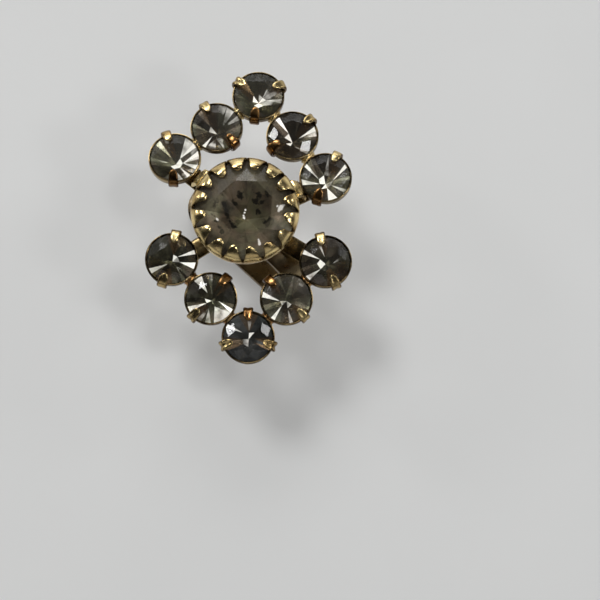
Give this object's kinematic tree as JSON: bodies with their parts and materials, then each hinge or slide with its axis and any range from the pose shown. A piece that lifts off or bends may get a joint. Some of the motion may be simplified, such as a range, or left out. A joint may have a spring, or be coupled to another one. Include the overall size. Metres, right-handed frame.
{
  "type": "cluster clip earring",
  "caption": "Single rhinestone cluster earring: a round centre stone in a toothed cup, two V-shaped arcs of small round stones, and a plain clip at the back.",
  "frame": {"origin": "on the surface that the earring lies on, at the underside of the clip's paddle, straight below the middle of the large stone", "axes": "+Z out of the face of the jewel, +Y towards the point of the upper arc, +X to the right as seen from the front"},
  "size_m": [0.0167, 0.0244, 0.0107],
  "materials": {
    "gilt_metal": "gilt stamped brass, worn to brown in the recesses",
    "centre_glass": "foiled glass, hazy and grey brown with dark spots",
    "small_glass": "foiled glass gone smoky grey"
  },
  "bodies": {
    "root": {"setting": "gilt_metal", "centre_stone": "centre_glass", "upper_stone_1": "small_glass", "upper_stone_2": "small_glass", "upper_stone_3": "small_glass", "upper_stone_4": "small_glass", "upper_stone_5": "small_glass", "lower_stone_1": "small_glass", "lower_stone_2": "small_glass", "lower_stone_3": "small_glass", "lower_stone_4": "small_glass", "lower_stone_5": "small_glass"}
  },
  "joints": []
}
